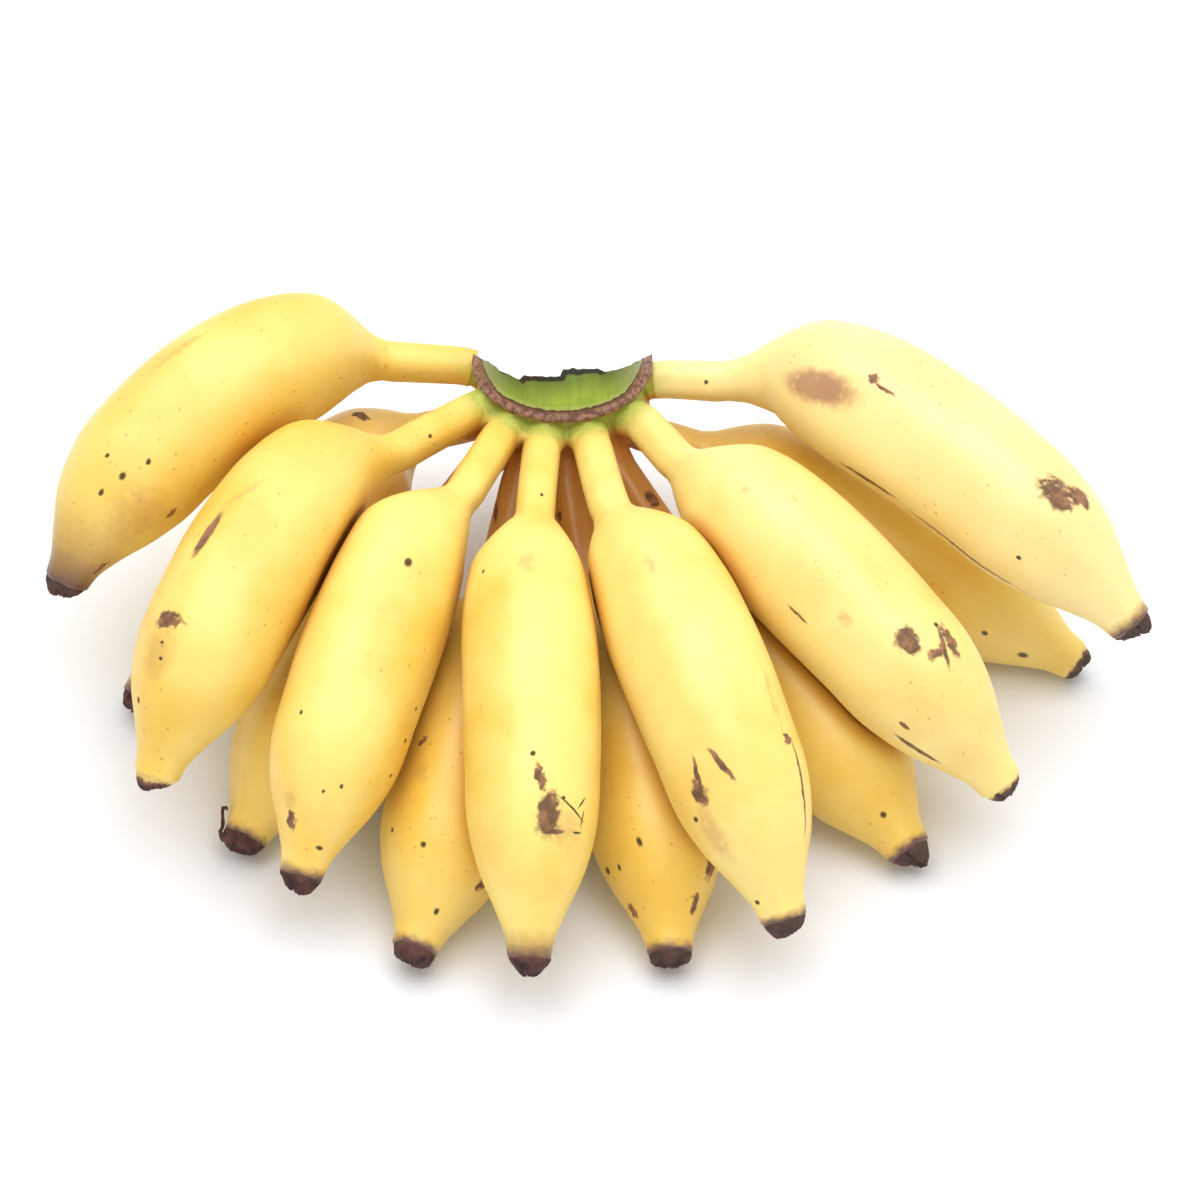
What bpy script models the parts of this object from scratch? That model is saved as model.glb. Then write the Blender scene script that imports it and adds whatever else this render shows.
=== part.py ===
"""A hand of thirteen small bananas on its cut crown, lying on its fingers with their backs up.

Two rows of fingers leave a ring round the crown, seven above and six below between them. Each
finger is a thin stalk that widens into the fruit and ends in a dried flower tip. Sizes are in
millimetres, measured from the middle of that ring, with the table at z = 0.
"""
import math

import bmesh
import bpy
import numpy as np
from mathutils import Vector

MM = 0.001
OBJECT_NAME = "banana_hand"

# Ring of stalks: where its middle lies, its radius, its depth for its width, and the height and
# pitch of each row's stalks
RING_Y = 3.5
RING_RADIUS = 21.0
RING_DEPTH = 0.9
UPPER_HEIGHT = 45.5
UPPER_PITCH = 13.0
LOWER_HEIGHT = 35.0
LOWER_PITCH = -22.0

# One line a finger: its name, its place on the ring (degrees from the front, towards +X), the way
# its stalk, shoulder and tip face, the pitch of shoulder and tip (degrees up), stalk length, whole
# length, girth across, and how far its fruit swells off to the right of its stalk
UPPER_FINGERS = [
    ("upper_1", -102, -82, -54, -35, 31, -42, 24, 131, 35.0, -6),
    ("upper_2", -62, -43, -28, -23.5, 16, -39, 32, 136.5, 34.5, -10),
    ("upper_3", -36, -19, -17, -18, -2, -35, 32, 135, 33.0, -7),
    ("upper_4", -11, -3, 6, -3, -3, -34, 32, 144, 32.5, -3),
    ("upper_5", 17, 9, 23, 20, 0, -34, 33, 144, 34.5, 2),
    ("upper_6", 51, 26, 37, 49, 7, -36, 25, 138.5, 35.0, 3.5),
    ("upper_7", 90, 74, 42, 51, 24, -32, 20, 142, 35.5, 11),
]
LOWER_FINGERS = [
    ("lower_1", -82, -98, -44, -40, -2, -17, 15, 117, 35.0, 0),
    ("lower_2", -49, -40, -27, -28, -2, -19, 26, 121, 34.0, 0),
    ("lower_3", -24, -13, -2, -18, -2, -19, 33, 134, 35.0, 0),
    ("lower_4", 3, 10, 21, 2.5, -2, -19, 30, 133, 34.0, 0),
    ("lower_5", 34, 35, 37, 34, -2, -19, 24, 127, 35.5, 0),
    ("lower_6", 70, 88, 60, 62, -2, -13, 14, 124, 33.5, 0),
]

# Fruit outline: share of the way from shoulder to tip, share of the greatest radius
FRUIT_PROFILE = [
    (0.00, 0.29), (0.03, 0.36), (0.06, 0.49), (0.09, 0.62), (0.125, 0.75), (0.175, 0.85),
    (0.25, 0.925), (0.41, 0.97), (0.60, 0.945), (0.735, 0.89), (0.83, 0.72), (0.905, 0.50),
    (0.962, 0.35), (1.00, 0.305),
]
STALK_RADIUS = 4.7
ROOT_BEND = 7.0
NECK_START = 0.55
NECK_LENGTH = 18.0
SWELL_START = -4.0
SWELL_LENGTH = 20.0
RIDGES = 5
RIDGE_HEIGHT = 0.02
STALK_STEPS = 9
FRUIT_STEPS = 66
END_CROWDING = 0.7
RING_EVERY = 3
BEVEL_RESOLUTION = 8

# Dried flower tip, turned: distance out from its axis and along it, from its far end back
TIP_LENGTH = 4.4
TIP_PROFILE = [(0.0, 4.4), (2.6, 4.2), (4.0, 3.5), (4.7, 2.4), (4.95, 1.2), (4.7, 0.0), (0.0, 0.0)]
TIP_SIDES = 12
TIP_GAP = 0.3

# Crown, turned: distance out from the ring's middle and height, from the top down. It bulges
# between the two rows of stalks, and carries the scar of a fallen leaf over the upper row.
CROWN_PROFILE = [
    (0.0, 70.0), (13.0, 67.5), (17.2, 62.5), (19.6, 57.0), (20.8, 53.8), (22.0, 52.7),
    (21.7, 51.5), (19.1, 50.6), (20.7, 43.0), (21.4, 38.8), (18.8, 31.0), (16.5, 26.5),
    (12.0, 23.5), (0.0, 22.5),
]
CROWN_SIDES = 48

# The curved knife cut that took the crown off the bunch's stem: a round hollow behind it, leaning
# forward, whose front wall passes over the middle of the ring at the height of the scar
CUT_RADIUS = 30.0
CUT_LEAN = 35.0
CUT_WALL_Y = -4.5
CUT_WALL_HEIGHT = 51.5
CUTTER_LENGTH = 160.0
CUTTER_SIDES = 64

# Pressing: the space kept between fingers, how far a lower finger is flattened on the table, the
# most degrees it bends to get there, and how often each search for a place halves its range
FINGER_GAP = 0.5
TABLE_PRESS = 1.3
MOST_SETTLE = 20.0
SETTLE_HALVINGS = 30
PRESS_HALVINGS = 14

PEEL_COLOUR = (0.83, 0.62, 0.10, 1.0)
TIP_COLOUR = (0.06, 0.03, 0.02, 1.0)
CROWN_COLOUR = (0.25, 0.34, 0.07, 1.0)


def smooth_step(value):
    value = np.clip(value, 0.0, 1.0)
    return value * value * (3.0 - 2.0 * value)


def fruit_radius(share):
    """Share of the greatest radius, on a smooth curve through the outline's points."""
    x, y = np.array(FRUIT_PROFILE).T
    slope = np.gradient(y, x)
    left = np.clip(np.searchsorted(x, share, side="right") - 1, 0, len(x) - 2)
    width = x[left + 1] - x[left]
    u = (share - x[left]) / width
    first = (1 + 2 * u) * (1 - u) ** 2 * y[left] + u * (1 - u) ** 2 * width * slope[left]
    second = u * u * (3 - 2 * u) * y[left + 1] + u * u * (u - 1) * width * slope[left + 1]
    return first + second


def finger_spine(finger, height, stalk_pitch, settle=0.0):
    """Points and radii along the middle of a finger, from the crown to the end of the peel."""
    _, place, stalk_turn, shoulder_turn, tip_turn, shoulder_pitch, tip_pitch = finger[:7]
    stalk, length, girth, swell = finger[7:]
    share = np.linspace(0.0, 1.0, FRUIT_STEPS + 1)
    share -= END_CROWDING * np.sin(2 * math.pi * share) / (2 * math.pi)
    stem = np.linspace(0.0, stalk, STALK_STEPS, endpoint=False)
    along = np.append(stem, stalk + share * (length - TIP_LENGTH - stalk))
    share = np.append(np.zeros(STALK_STEPS), share)
    neck = smooth_step((along - NECK_START * stalk) / ((1 - NECK_START) * stalk + NECK_LENGTH))
    fruit_turn = shoulder_turn + (tip_turn - shoulder_turn) * share
    fruit_pitch = shoulder_pitch + (tip_pitch - shoulder_pitch) * share + settle
    stem_turn = place + (stalk_turn - place) * smooth_step(along / ROOT_BEND)
    turn = np.radians((1 - neck) * stem_turn + neck * fruit_turn)
    pitch = np.radians((1 - neck) * stalk_pitch + neck * fruit_pitch)
    level = np.cos(pitch)
    heading = np.stack([np.sin(turn) * level, -np.cos(turn) * level, np.sin(pitch)], axis=1)
    steps = (heading[1:] + heading[:-1]) * 0.5 * np.diff(along)[:, None]
    points = np.vstack([np.zeros(3), np.cumsum(steps, axis=0)])
    place = math.radians(place)
    depth = RING_RADIUS * RING_DEPTH
    points += (RING_RADIUS * math.sin(place), RING_Y - depth * math.cos(place), height)
    shoulder = math.radians(shoulder_turn)
    swelling = smooth_step((along - stalk - SWELL_START) / SWELL_LENGTH) * swell
    points[:, 0] += swelling * math.cos(shoulder)
    points[:, 1] += swelling * math.sin(shoulder)
    radii = girth * 0.5 * fruit_radius(share)
    radii[:STALK_STEPS] = STALK_RADIUS + (radii[0] - STALK_RADIUS) * stem / stalk
    return points, radii


def settled_spine(finger):
    """Spine of a lower finger, bent up or down until it is pressed on the table."""
    low, high = -MOST_SETTLE, MOST_SETTLE
    for _ in range(SETTLE_HALVINGS):
        settle = (low + high) / 2
        points, radii = finger_spine(finger, LOWER_HEIGHT, LOWER_PITCH, settle)
        if (points[:, 2] - radii).min() < -TABLE_PRESS:
            low = settle
        else:
            high = settle
    return points, radii


def nearest_on_spine(places, spine):
    """For each place, the nearest point of a spine, its radius and heading there, and the distance."""
    points, radii = spine
    run = points[1:] - points[:-1]
    share = np.einsum("psk,sk->ps", places[:, None] - points[:-1], run) / (run * run).sum(axis=1)
    share = np.clip(share, 0.0, 1.0)
    feet = points[:-1] + share[..., None] * run
    distance = np.linalg.norm(places[:, None] - feet, axis=2)
    rows = np.arange(len(places))
    best = distance.argmin(axis=1)
    share = share[rows, best]
    radius = radii[best] * (1 - share) + radii[best + 1] * share
    return feet[rows, best], radius, run[best], distance[rows, best]


def press(places, own, others):
    """Gives a finger its ridges, then draws it in where its neighbours or the table press it."""
    feet, radius, heading, reach = nearest_on_spine(places, own)
    ways = (places - feet) / reach[:, None]
    side = np.cross(heading, (0.0, 0.0, 1.0))
    side /= np.linalg.norm(side, axis=1)[:, None]
    round_angle = np.arctan2((ways * side).sum(axis=1), ways[:, 2])
    wanted = reach * (1 + RIDGE_HEIGHT * np.sin(RIDGES * round_angle))
    low = np.zeros(len(places))
    high = wanted
    for step in range(PRESS_HALVINGS):
        tried = wanted if step == 0 else (low + high) / 2
        points = feet + ways * tried[:, None]
        free = np.ones(len(places), dtype=bool)
        for other in others:
            _, other_radius, _, other_reach = nearest_on_spine(points, other)
            free &= other_reach - other_radius >= tried - radius + FINGER_GAP
        low = np.where(free, tried, low)
        high = np.where(free, high, tried)
    placed = feet + ways * low[:, None]
    placed[:, 2] = np.maximum(placed[:, 2], 0.0)
    return placed


def make_material(name, colour, roughness):
    material = bpy.data.materials.new(name)
    material.use_nodes = True
    shader = material.node_tree.nodes["Principled BSDF"]
    shader.inputs["Base Color"].default_value = colour
    shader.inputs["Roughness"].default_value = roughness
    shader.inputs["Metallic"].default_value = 0.0
    return material


def add_object(name, data, collection, parent=None):
    piece = bpy.data.objects.new(name, data)
    collection.objects.link(piece)
    piece.parent = parent
    return piece


def make_finger(name, own, others, material, collection, parent):
    """A tube along the spine with a radius at each point, made a mesh and then pressed."""
    points, radii = own
    curve = bpy.data.curves.new(name, "CURVE")
    curve.dimensions = "3D"
    curve.bevel_depth = MM
    curve.bevel_resolution = BEVEL_RESOLUTION
    curve.use_fill_caps = True
    line = curve.splines.new("POLY")
    line.points.add((len(points) - 1) // RING_EVERY)
    for knot, point, radius in zip(line.points, points[::RING_EVERY], radii[::RING_EVERY]):
        knot.co = (*(Vector(point) * MM), 1.0)
        knot.radius = radius
    tube = add_object(name + "_tube", curve, collection)
    mesh = bpy.data.meshes.new_from_object(tube.evaluated_get(bpy.context.evaluated_depsgraph_get()))
    mesh.name = name
    bpy.data.objects.remove(tube)
    bpy.data.curves.remove(curve)
    cage = bmesh.new()
    cage.from_mesh(mesh)
    bmesh.ops.remove_doubles(cage, verts=cage.verts, dist=0.01 * MM)
    placed = press(np.array([vertex.co for vertex in cage.verts]) / MM, own, others)
    for vertex, place in zip(cage.verts, placed):
        vertex.co = place * MM
    bmesh.ops.recalc_face_normals(cage, faces=cage.faces)
    cage.to_mesh(mesh)
    cage.free()
    mesh.materials.clear()
    mesh.materials.append(material)
    mesh.shade_smooth()
    return add_object(name, mesh, collection, parent)


def make_turned(name, profile, sides, material, collection, parent):
    """A solid turned round Z from a profile that runs down its outer side."""
    mesh = bpy.data.meshes.new(name)
    edges = [(k, k + 1) for k in range(len(profile) - 1)]
    mesh.from_pydata([(out * MM, 0.0, up * MM) for out, up in profile], edges, [])
    mesh.materials.append(material)
    piece = add_object(name, mesh, collection, parent)
    screw = piece.modifiers.new("turned", "SCREW")
    screw.steps = sides
    screw.render_steps = sides
    screw.use_merge_vertices = True
    screw.merge_threshold = 0.01 * MM
    screw.use_smooth_shade = True
    return piece


def make_tip(name, spine, material, collection, parent):
    """The dried flower tip, set in line with the end of its finger."""
    points, _ = spine
    heading = Vector(points[-1] - points[-2]).normalized()
    tip = make_turned(name, TIP_PROFILE, TIP_SIDES, material, collection, parent)
    tip.location = (Vector(points[-1]) + heading * TIP_GAP) * MM
    tip.rotation_mode = "QUATERNION"
    tip.rotation_quaternion = heading.to_track_quat("Z", "Y")
    return tip


def add_knife_cut(piece, name, collection, parent):
    """Hollows the back of the crown with a leaning cylinder."""
    bpy.ops.mesh.primitive_cylinder_add(
        vertices=CUTTER_SIDES, radius=CUT_RADIUS * MM, depth=CUTTER_LENGTH * MM, end_fill_type="NGON"
    )
    cutter = bpy.context.object
    cutter.name = name
    for old in list(cutter.users_collection):
        old.objects.unlink(cutter)
    collection.objects.link(cutter)
    cutter.parent = parent
    cutter.rotation_euler.x = math.radians(CUT_LEAN)
    reach = CUT_RADIUS / math.cos(math.radians(CUT_LEAN))
    cutter.location = Vector((0.0, CUT_WALL_Y + reach, CUT_WALL_HEIGHT)) * MM
    cutter.hide_render = True
    cutter.display_type = "WIRE"
    cut = piece.modifiers.new(name, "BOOLEAN")
    cut.operation = "DIFFERENCE"
    cut.object = cutter


def footprint_middle(collection):
    """Middle of all the pieces seen from above, in metres."""
    graph = bpy.context.evaluated_depsgraph_get()
    corners = []
    for piece in collection.objects:
        if piece.type != "MESH":
            continue
        evaluated = piece.evaluated_get(graph)
        mesh = evaluated.to_mesh()
        corners += [piece.matrix_world @ vertex.co for vertex in mesh.vertices]
        evaluated.to_mesh_clear()
    middle = [(min(c[k] for c in corners) + max(c[k] for c in corners)) / 2 for k in range(2)]
    return Vector((*middle, 0.0))


def build():
    for old in list(bpy.data.objects):
        bpy.data.objects.remove(old)
    parts = bpy.data.collections.new(OBJECT_NAME)
    cutters = bpy.data.collections.new("cutters")
    bpy.context.scene.collection.children.link(parts)
    bpy.context.scene.collection.children.link(cutters)
    stand = bpy.data.objects.new(OBJECT_NAME + "_frame", None)
    parts.objects.link(stand)

    peel = make_material("banana_peel", PEEL_COLOUR, 0.45)
    dried = make_material("dried_flower", TIP_COLOUR, 0.9)
    green = make_material("green_crown", CROWN_COLOUR, 0.55)

    spines = {f[0]: finger_spine(f, UPPER_HEIGHT, UPPER_PITCH) for f in UPPER_FINGERS}
    spines |= {f[0]: settled_spine(f) for f in LOWER_FINGERS}
    for name, spine in spines.items():
        others = [spines[other] for other in spines if other != name]
        make_finger("finger_" + name, spine, others, peel, parts, stand)
        make_tip("dried_tip_" + name, spine, dried, parts, stand)

    crown = make_turned("crown", CROWN_PROFILE, CROWN_SIDES, green, parts, stand)
    crown.location.y = RING_Y * MM
    crown.scale.y = RING_DEPTH
    add_knife_cut(crown, "knife_cut", cutters, stand)

    bpy.context.view_layer.update()
    stand.location = -footprint_middle(parts)
    bpy.context.view_layer.update()


build()
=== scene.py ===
"""A hand of thirteen small ripe bananas on its green cut crown, lying with the backs up."""
import math

import bmesh
import bpy
import numpy as np
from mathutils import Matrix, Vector
from mathutils.kdtree import KDTree


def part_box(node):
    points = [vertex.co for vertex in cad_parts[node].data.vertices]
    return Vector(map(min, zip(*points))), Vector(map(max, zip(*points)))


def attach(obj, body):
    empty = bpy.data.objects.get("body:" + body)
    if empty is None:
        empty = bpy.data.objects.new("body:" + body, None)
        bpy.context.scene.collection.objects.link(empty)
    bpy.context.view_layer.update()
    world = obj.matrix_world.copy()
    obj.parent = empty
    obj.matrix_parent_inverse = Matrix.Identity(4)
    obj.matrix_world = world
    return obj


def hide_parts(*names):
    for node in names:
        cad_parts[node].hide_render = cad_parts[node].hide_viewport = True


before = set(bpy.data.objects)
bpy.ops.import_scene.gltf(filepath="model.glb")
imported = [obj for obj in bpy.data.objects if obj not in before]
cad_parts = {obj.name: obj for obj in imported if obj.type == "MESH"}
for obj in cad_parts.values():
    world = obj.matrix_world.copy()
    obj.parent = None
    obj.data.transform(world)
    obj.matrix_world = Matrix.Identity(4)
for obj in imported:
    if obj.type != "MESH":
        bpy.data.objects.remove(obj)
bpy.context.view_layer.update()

# The ground: a plain white table under a large soft light, seen from the front and above. It is
# so bright that only the shade close to the fruit shows.

MM = 0.001
GROUND_WIDTH = 12.0
GROUND_WHITE = "EFF2F8"
SKY_WHITE = "FFFDFA"
SKY_STRENGTH = 0.70
LAMP_WIDTH = 1.4
LAMP_PLACE = (0.02, 0.16, 1.25)
LAMP_POWER = 17.5
LOOK_AT = (0.0010, 0.0194, 0.0250)
LOOK_DISTANCE = 0.834
LOOK_DOWN = 50.0
LENS = 105.0


def from_hex(code):
    """A linear colour from the hexadecimal code of what the eye sees."""
    parts = [int(code[k:k + 2], 16) / 255 for k in (0, 2, 4)]
    return [p / 12.92 if p <= 0.04045 else ((p + 0.055) / 1.055) ** 2.4 for p in parts] + [1.0]


def add_node(material, kind, inputs=None, **settings):
    """Adds a node with its settings, and fills its inputs with values or other nodes' outputs."""
    tree = material.node_tree
    made = tree.nodes.new("ShaderNode" + kind)
    for name, value in settings.items():
        setattr(made, name, value)
    for name, value in (inputs or {}).items():
        if isinstance(value, bpy.types.NodeSocket):
            tree.links.new(value, made.inputs[name])
        else:
            made.inputs[name].default_value = value
    return made


bpy.ops.mesh.primitive_plane_add(size=GROUND_WIDTH)
ground = bpy.context.object
ground.name = "white_ground"
# Matt white board: no shine, only soft shade
board = bpy.data.materials.new("matt_white_board")
board.use_nodes = True
board_shader = board.node_tree.nodes["Principled BSDF"]
board_shader.inputs["Base Color"].default_value = from_hex(GROUND_WHITE)
board_shader.inputs["Roughness"].default_value = 0.9
board_shader.inputs["Specular IOR Level"].default_value = 0.1
ground.data.materials.append(board)

world = bpy.data.worlds.new("white_room")
world.use_nodes = True
world.node_tree.nodes["Background"].inputs["Color"].default_value = from_hex(SKY_WHITE)
world.node_tree.nodes["Background"].inputs["Strength"].default_value = SKY_STRENGTH
bpy.context.scene.world = world

lamp = bpy.data.lights.new("soft_box", "AREA")
lamp.shape = "SQUARE"
lamp.size = LAMP_WIDTH
lamp.energy = LAMP_POWER
soft_box = bpy.data.objects.new("soft_box", lamp)
bpy.context.scene.collection.objects.link(soft_box)
soft_box.location = LAMP_PLACE
soft_box.rotation_euler = (Vector(LOOK_AT) - Vector(LAMP_PLACE)).to_track_quat("-Z", "Y").to_euler()

camera = bpy.data.cameras.new("camera")
camera.lens = LENS
camera.sensor_width = 36.0
camera.clip_start = 0.01
eye = bpy.data.objects.new("camera", camera)
bpy.context.scene.collection.objects.link(eye)
tilt = math.radians(LOOK_DOWN)
eye.location = Vector(LOOK_AT) + LOOK_DISTANCE * Vector((0.0, -math.cos(tilt), math.sin(tilt)))
eye.rotation_euler = (math.pi / 2 - tilt, 0.0, 0.0)
bpy.context.scene.camera = eye
bpy.context.scene.view_settings.view_transform = "Standard"

# The fingers: thirteen bananas, each a thin stalk that swells into the fruit, with five faint
# ridges. They grow against each other and the table, which press flats on them. Sizes are in
# millimetres from the middle of the ring of stalks, with the table at z = 0.

RING_Y = 3.5
RING_RADIUS = 21.0
RING_DEPTH = 0.9
SCAR_RADIUS = 22.0
UPPER_HEIGHT = 45.5
UPPER_PITCH = 13.0
LOWER_HEIGHT = 35.0
LOWER_PITCH = -22.0
# One line a finger: its name, its place on the ring (degrees from the front, towards +X), the way
# its stalk, shoulder and tip face, the pitch of shoulder and tip (degrees up), stalk length, whole
# length, girth across, and how far its fruit swells off to the right of its stalk
UPPER_FINGERS = [
    ("upper_1", -102, -82, -54, -35, 31, -42, 24, 131, 35.0, -6),
    ("upper_2", -62, -43, -28, -23.5, 16, -39, 32, 136.5, 34.5, -10),
    ("upper_3", -36, -19, -17, -18, -2, -35, 32, 135, 33.0, -7),
    ("upper_4", -11, -3, 6, -3, -3, -34, 32, 144, 32.5, -3),
    ("upper_5", 17, 9, 23, 20, 0, -34, 33, 144, 34.5, 2),
    ("upper_6", 51, 26, 37, 49, 7, -36, 25, 138.5, 35.0, 3.5),
    ("upper_7", 90, 74, 42, 51, 24, -32, 20, 142, 35.5, 11),
]
LOWER_FINGERS = [
    ("lower_1", -82, -98, -44, -40, -2, -17, 15, 117, 35.0, 0),
    ("lower_2", -49, -40, -27, -28, -2, -19, 26, 121, 34.0, 0),
    ("lower_3", -24, -13, -2, -18, -2, -19, 33, 134, 35.0, 0),
    ("lower_4", 3, 10, 21, 2.5, -2, -19, 30, 133, 34.0, 0),
    ("lower_5", 34, 35, 37, 34, -2, -19, 24, 127, 35.5, 0),
    ("lower_6", 70, 88, 60, 62, -2, -13, 14, 124, 33.5, 0),
]

# Fruit outline: share of the way from shoulder to tip, share of the greatest radius
FRUIT_PROFILE = [
    (0.00, 0.29), (0.03, 0.36), (0.06, 0.49), (0.09, 0.62), (0.125, 0.75), (0.175, 0.85),
    (0.25, 0.925), (0.41, 0.97), (0.60, 0.945), (0.735, 0.89), (0.83, 0.72), (0.905, 0.50),
    (0.962, 0.35), (1.00, 0.305),
]
STALK_RADIUS = 4.7
ROOT_BEND = 7.0
NECK_START = 0.55
NECK_LENGTH = 18.0
SWELL_START = -4.0
SWELL_LENGTH = 20.0
TIP_LENGTH = 4.4
RIDGES = 5
RIDGE_HEIGHT = 0.02
STALK_STEPS = 36
FRUIT_STEPS = 124
END_CROWDING = 0.7
FINGER_SIDES = 84
ROOT_DEPTH = 3.0
ROOT_RADIUS = 3.6
# The two end stalks, which the knife passed behind: how far out their own peel begins, and how far
# behind that it is closed
CUT_STALKS = ("upper_1", "upper_7")
CUT_STALK_START = 1.2
CUT_STALK_ROOT = 0.1
PEEL_INSET = 0.12
# The peel's end turns in to a lip round a slight hollow, under the dried tip
PEEL_LIP = 0.5
LIP_SHARE = 0.9
PEEL_HOLLOW = 0.2
LEAST_RADIUS = 0.3
# Shallow dents, as waves: how long each is, how many go round, how much of the finger's own turn
# it takes, and its turn besides
DENT_WAVES = [(31.0, 2, 1.0, 0.0), (19.0, 3, 2.3, 0.0), (12.0, 4, 0.0, 4.1)]
DENT_HEIGHT = 0.0035
PHASE_STEP = 1.7
CONTACT_REACH = 2.0
CONTACT_GAP = 0.25
CONTACT_ROUND = 1.2
CREASE_REACH = 9.0
TABLE_PRESS = 1.3
MOST_SETTLE = 20.0
SETTLE_HALVINGS = 30
PRESS_HALVINGS = 12

crown_low, crown_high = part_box("crown")
scar_front = SCAR_RADIUS * RING_DEPTH - RING_Y
hand_middle = Vector(((crown_low.x + crown_high.x) / 2, crown_low.y + scar_front * MM, 0))


def smooth_step(value):
    value = np.clip(value, 0.0, 1.0)
    return value * value * (3.0 - 2.0 * value)


def fruit_radius(share):
    """Share of the greatest radius, on a smooth curve through the outline's points."""
    x, y = np.array(FRUIT_PROFILE).T
    slope = np.gradient(y, x)
    left = np.clip(np.searchsorted(x, share, side="right") - 1, 0, len(x) - 2)
    width = x[left + 1] - x[left]
    u = (share - x[left]) / width
    first = (1 + 2 * u) * (1 - u) ** 2 * y[left] + u * (1 - u) ** 2 * width * slope[left]
    second = u * u * (3 - 2 * u) * y[left + 1] + u * u * (u - 1) * width * slope[left + 1]
    return first + second


def finger_spine(finger, height, stalk_pitch, settle=0.0):
    """Points and radii along the middle of a finger, from the crown to the end of the peel."""
    _, place, stalk_turn, shoulder_turn, tip_turn, shoulder_pitch, tip_pitch = finger[:7]
    stalk, length, girth, swell = finger[7:]
    share = np.linspace(0.0, 1.0, FRUIT_STEPS + 1)
    share -= END_CROWDING * np.sin(2 * math.pi * share) / (2 * math.pi)
    stem = np.linspace(0.0, stalk, STALK_STEPS, endpoint=False)
    along = np.append(stem, stalk + share * (length - TIP_LENGTH - stalk))
    share = np.append(np.zeros(STALK_STEPS), share)
    neck = smooth_step((along - NECK_START * stalk) / ((1 - NECK_START) * stalk + NECK_LENGTH))
    fruit_turn = shoulder_turn + (tip_turn - shoulder_turn) * share
    fruit_pitch = shoulder_pitch + (tip_pitch - shoulder_pitch) * share + settle
    stem_turn = place + (stalk_turn - place) * smooth_step(along / ROOT_BEND)
    turn = np.radians((1 - neck) * stem_turn + neck * fruit_turn)
    pitch = np.radians((1 - neck) * stalk_pitch + neck * fruit_pitch)
    level = np.cos(pitch)
    heading = np.stack([np.sin(turn) * level, -np.cos(turn) * level, np.sin(pitch)], axis=1)
    steps = (heading[1:] + heading[:-1]) * 0.5 * np.diff(along)[:, None]
    points = np.vstack([np.zeros(3), np.cumsum(steps, axis=0)])
    place = math.radians(place)
    depth = RING_RADIUS * RING_DEPTH
    points += (RING_RADIUS * math.sin(place), RING_Y - depth * math.cos(place), height)
    shoulder = math.radians(shoulder_turn)
    swelling = smooth_step((along - stalk - SWELL_START) / SWELL_LENGTH) * swell
    points[:, 0] += swelling * math.cos(shoulder)
    points[:, 1] += swelling * math.sin(shoulder)
    radii = girth * 0.5 * fruit_radius(share)
    radii[:STALK_STEPS] = STALK_RADIUS + (radii[0] - STALK_RADIUS) * stem / stalk
    return {"points": points, "radii": radii, "heading": heading, "along": along, "girth": girth}


def settled_spine(finger):
    """Spine of a lower finger, bent up or down until it is pressed on the table."""
    low, high = -MOST_SETTLE, MOST_SETTLE
    for _ in range(SETTLE_HALVINGS):
        settle = (low + high) / 2
        spine = finger_spine(finger, LOWER_HEIGHT, LOWER_PITCH, settle)
        if (spine["points"][:, 2] - spine["radii"]).min() < -TABLE_PRESS:
            low = settle
        else:
            high = settle
    return spine


def reach_past(places, spine):
    """How far each place lies outside a finger's round surface."""
    points, radii = spine["points"], spine["radii"]
    square = (places ** 2).sum(axis=1)[:, None] - 2 * places @ points.T + (points ** 2).sum(axis=1)
    near = square.argmin(axis=1)
    best = np.full(len(places), np.inf)
    for shift in (-1, 0):
        start = np.clip(near + shift, 0, len(points) - 2)
        run = points[start + 1] - points[start]
        share = ((places - points[start]) * run).sum(axis=1) / (run * run).sum(axis=1)
        share = np.clip(share, 0.0, 1.0)
        distance = np.linalg.norm(places - points[start] - share[:, None] * run, axis=1)
        best = np.minimum(best, distance - radii[start] * (1 - share) - radii[start + 1] * share)
    return best


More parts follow.
